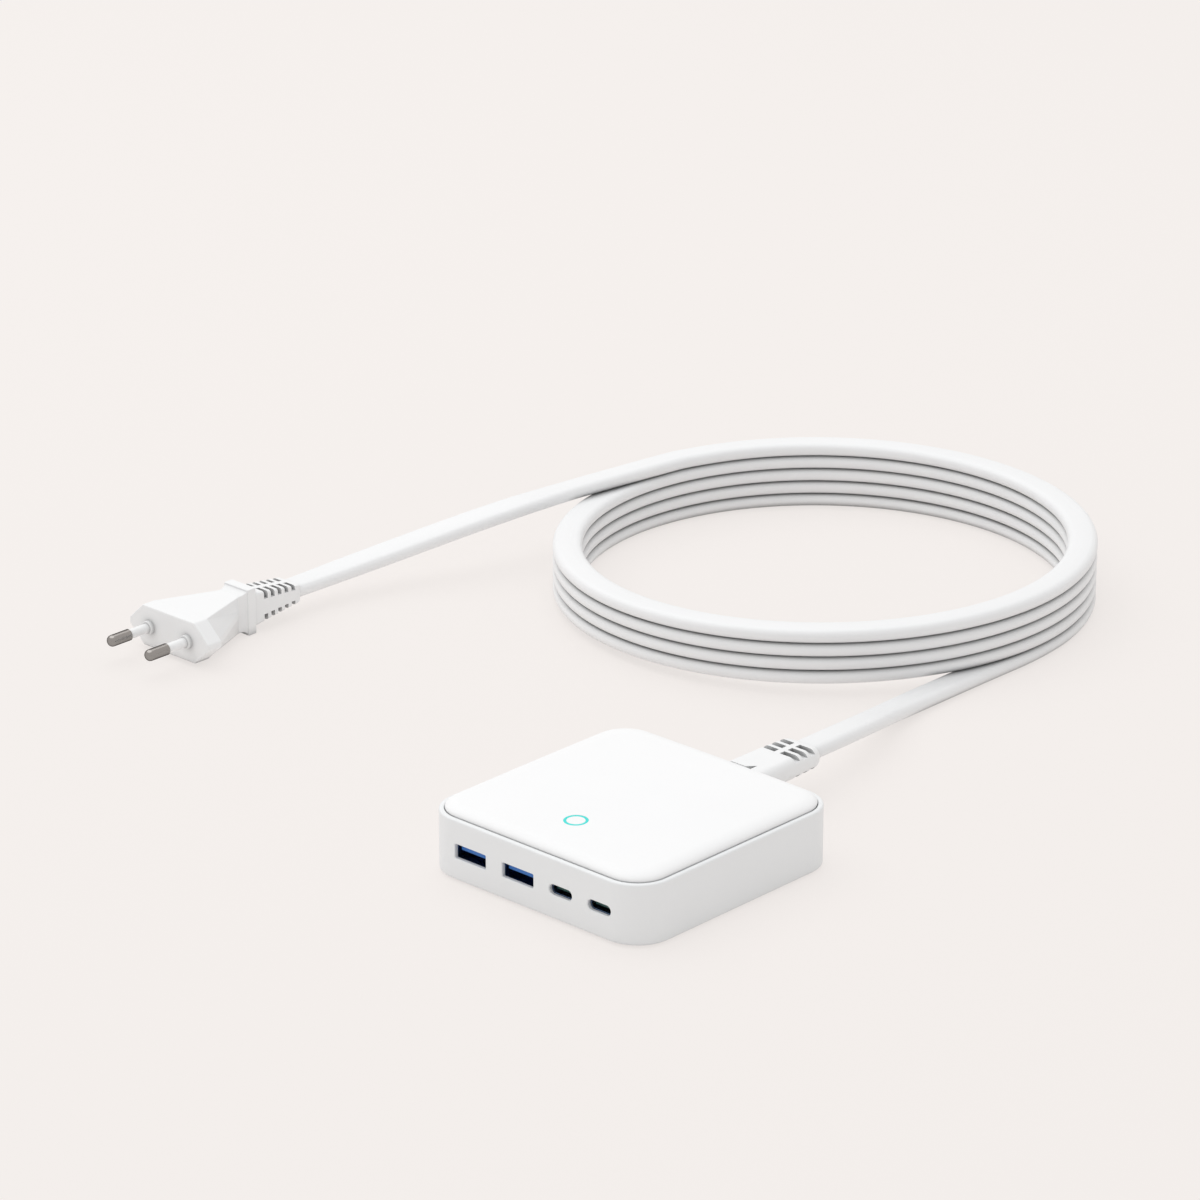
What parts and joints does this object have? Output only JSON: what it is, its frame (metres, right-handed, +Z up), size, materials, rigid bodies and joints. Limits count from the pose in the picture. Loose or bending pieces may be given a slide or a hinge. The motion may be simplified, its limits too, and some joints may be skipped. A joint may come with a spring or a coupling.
{
  "type": "wall charger",
  "caption": "White square desktop USB charging station with a crowned lid, a light ring, front ports and a flat mains lead in a coil.",
  "frame": {"origin": "on the surface that the feet stand on, under the middle of the casing", "axes": "+Z up out of the lid, -Y out of the front edge with the USB ports, +Y out of the mains inlet, +X to the right seen from the front"},
  "size_m": [0.291, 0.3505, 0.0242],
  "materials": {
    "shell_white": "fine satin moulding",
    "cover_white": "smooth satin moulding",
    "light_cyan": "clear, lit from below",
    "foot_rubber": "matt",
    "screw_steel": "plated",
    "board_green": "solder mask",
    "sheet_film": "thin film",
    "led_white": "moulded lens",
    "fuse_sleeve": "heat-shrunk sleeve",
    "ferrite_grey": "sintered",
    "wire_copper": "enamelled wire",
    "film_yellow": "moulded box",
    "chip_black": "moulded package",
    "can_sleeve": "shrunk sleeve",
    "disc_blue": "dipped coat",
    "tape_yellow": "wrapped tape",
    "can_aluminium": "drawn can",
    "pad_grey": "soft pad",
    "plate_aluminium": "rolled sheet",
    "port_steel": "nickel plated",
    "tongue_blue": "moulded",
    "tongue_black": "moulded",
    "contact_gold": "gold plated",
    "inlet_black": "moulded",
    "pin_nickel": "satin nickel plate",
    "mould_white": "soft moulding",
    "cord_white": "soft jacket, slightly glossy"
  },
  "bodies": {
    "root": {"base_shell": "shell_white", "top_cover": "cover_white", "light_guide": "light_cyan", "ring_cap": "cover_white", "status_led": "led_white", "rubber_feet": "foot_rubber", "main_board": "board_green", "board_screws": "screw_steel", "insulation_sheet": "sheet_film", "fuse": "fuse_sleeve", "choke_core": "ferrite_grey", "choke_windings": "wire_copper", "film_capacitor": "film_yellow", "bridge_rectifier": "chip_black", "bulk_capacitors": "can_sleeve", "safety_capacitor": "disc_blue", "transformer_core": "ferrite_grey", "transformer_winding": "tape_yellow", "power_switch": "chip_black", "controller_chips": "chip_black", "output_inductors": "ferrite_grey", "output_capacitors": "can_aluminium", "optocoupler": "chip_black", "thermal_pads": "pad_grey", "heat_spreader": "plate_aluminium", "inlet_body": "inlet_black", "inlet_pins": "pin_nickel", "connector_body": "mould_white", "connector_contacts": "contact_gold", "cord_lead_charger": "cord_white", "cord_coil": "cord_white", "cord_lead_plug": "cord_white", "plug_body": "mould_white", "plug_pins": "pin_nickel", "plug_pin_sleeves": "mould_white", "usb_a_left_shell": "port_steel", "usb_a_left_tongue": "tongue_blue", "usb_a_left_contacts": "contact_gold", "usb_c_left_shell": "port_steel", "usb_c_left_insulator": "tongue_black", "usb_c_left_contacts": "contact_gold", "usb_a_right_shell": "port_steel", "usb_a_right_tongue": "tongue_blue", "usb_a_right_contacts": "contact_gold", "usb_c_right_shell": "port_steel", "usb_c_right_insulator": "tongue_black", "usb_c_right_contacts": "contact_gold"}
  },
  "joints": []
}
